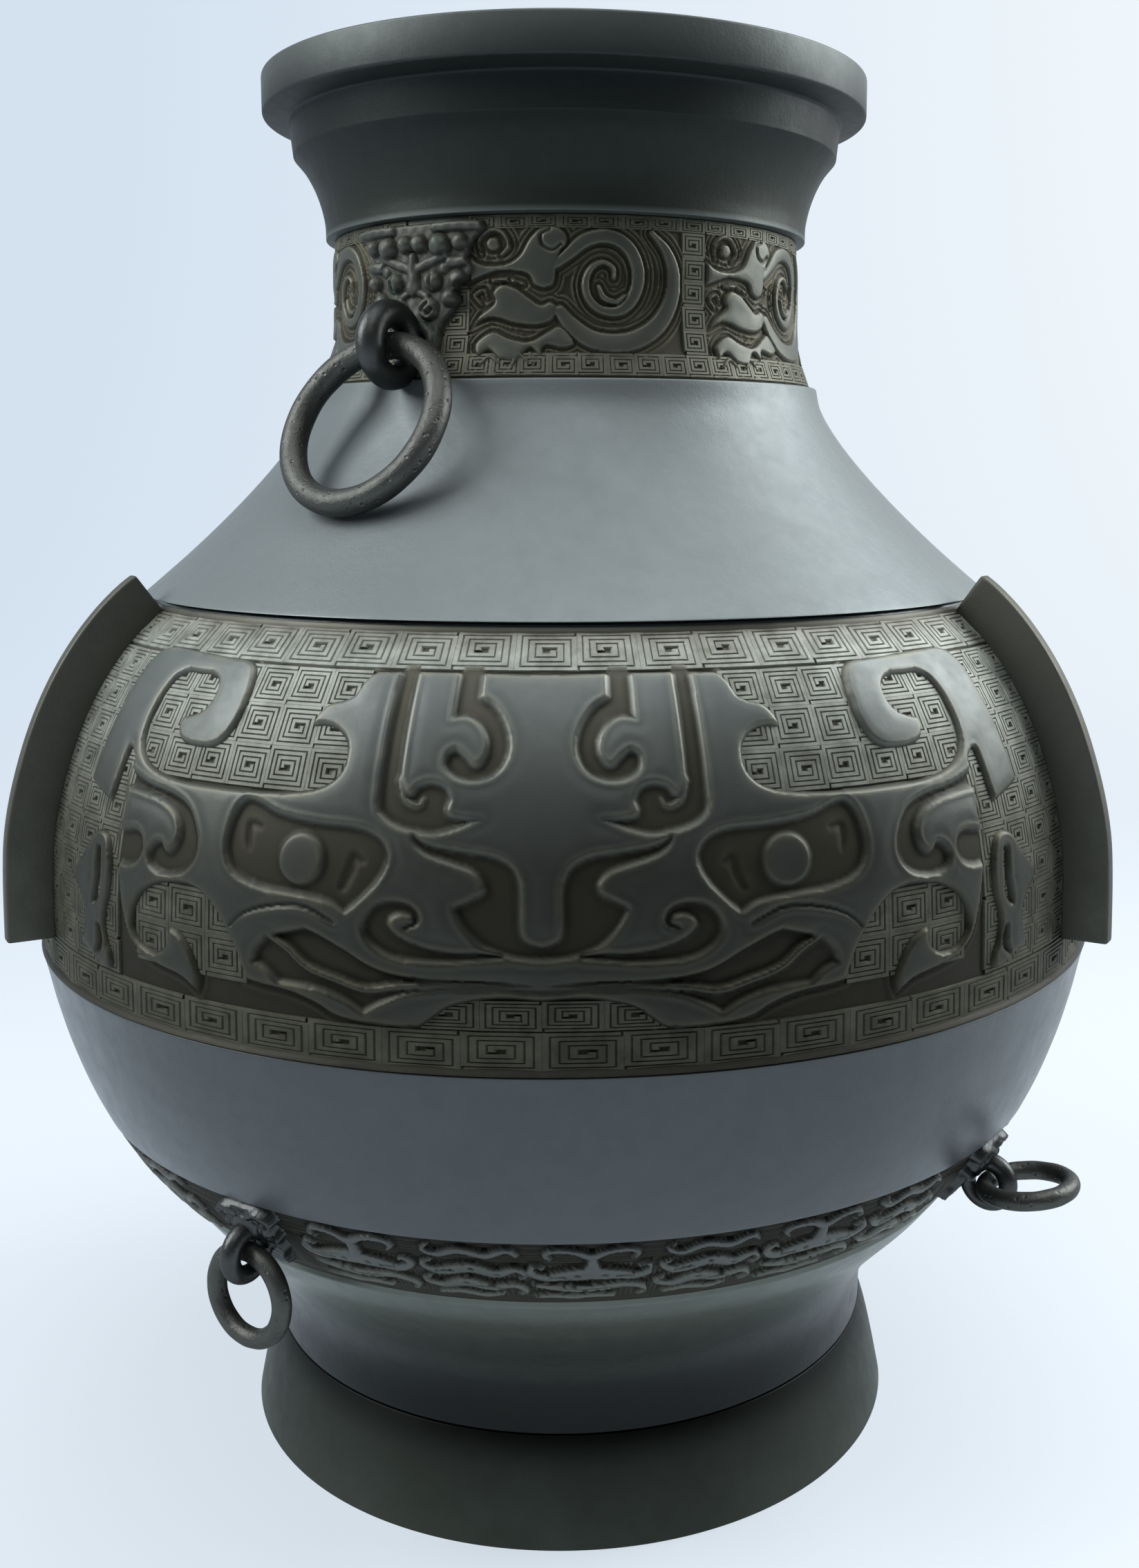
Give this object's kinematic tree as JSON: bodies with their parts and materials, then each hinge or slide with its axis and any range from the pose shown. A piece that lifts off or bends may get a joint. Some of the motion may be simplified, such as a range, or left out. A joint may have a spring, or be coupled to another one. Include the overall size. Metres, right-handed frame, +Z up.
{
  "type": "baluster vase",
  "caption": "Cast bronze baluster vase in archaic style with a flared neck, round belly, stepped foot, vertical flanges and masks that carry loose rings.",
  "frame": {"origin": "the point where the vase's axis meets the plane that the foot stands on", "axes": "+Z up along the vase's axis, out of the mouth; -Y towards the front, where a main mask is centred 15 degrees to the left of it and the right flange stands 45 degrees to the right"},
  "size_m": [0.322, 0.322, 0.4],
  "materials": {
    "bronze": "dark grey-green patina over cast bronze, satin, rubbed on the relief's edges",
    "dark_bronze": "darker green-black patina, satin, with verdigris in the recesses",
    "rubbed_bronze": "brown-grey bronze polished by handling, mottled, with bright highlights"
  },
  "bodies": {
    "vessel": {"neck_section": "bronze", "belly": "bronze", "foot": "bronze", "base_plate": "dark_bronze", "flange_right": "bronze", "flange_back": "bronze", "flange_left": "bronze", "neck_mask_front": "dark_bronze", "neck_mask_back": "dark_bronze", "lower_mask_front_left": "dark_bronze", "lower_mask_front_right": "dark_bronze", "lower_mask_back_right": "dark_bronze", "lower_mask_back_left": "dark_bronze"},
    "neck_ring_front": {"neck_ring_front": "rubbed_bronze"},
    "neck_ring_back": {"neck_ring_back": "rubbed_bronze"},
    "lower_ring_front_left": {"lower_ring_front_left": "rubbed_bronze"},
    "lower_ring_front_right": {"lower_ring_front_right": "rubbed_bronze"},
    "lower_ring_back_right": {"lower_ring_back_right": "rubbed_bronze"},
    "lower_ring_back_left": {"lower_ring_back_left": "rubbed_bronze"}
  },
  "joints": [
    {"name": "neck_ring_front_swing", "type": "hinge", "parent": "vessel", "child": "neck_ring_front", "pos_m": [-0.05962, -0.05368, 0.3203], "axis": [-0.6691, 0.7431, 0], "range_deg": [0, 146]},
    {"name": "neck_ring_back_swing", "type": "hinge", "parent": "vessel", "child": "neck_ring_back", "pos_m": [0.05962, 0.05368, 0.3203], "axis": [0.6691, -0.7431, 0], "range_deg": [0, 146]},
    {"name": "lower_ring_front_left_swing", "type": "hinge", "parent": "vessel", "child": "lower_ring_front_left", "pos_m": [-0.10423, -0.09385, 0.0938], "axis": [-0.6691, 0.7431, 0], "range_deg": [-40, 145]},
    {"name": "lower_ring_front_right_swing", "type": "hinge", "parent": "vessel", "child": "lower_ring_front_right", "pos_m": [0.09385, -0.10423, 0.0938], "axis": [-0.7431, -0.6691, 0], "range_deg": [-138, 47]},
    {"name": "lower_ring_back_right_swing", "type": "hinge", "parent": "vessel", "child": "lower_ring_back_right", "pos_m": [0.10423, 0.09385, 0.0938], "axis": [0.6691, -0.7431, 0], "range_deg": [-40, 145]},
    {"name": "lower_ring_back_left_swing", "type": "hinge", "parent": "vessel", "child": "lower_ring_back_left", "pos_m": [-0.09385, 0.10423, 0.0938], "axis": [0.7431, 0.6691, 0], "range_deg": [-40, 145]}
  ]
}
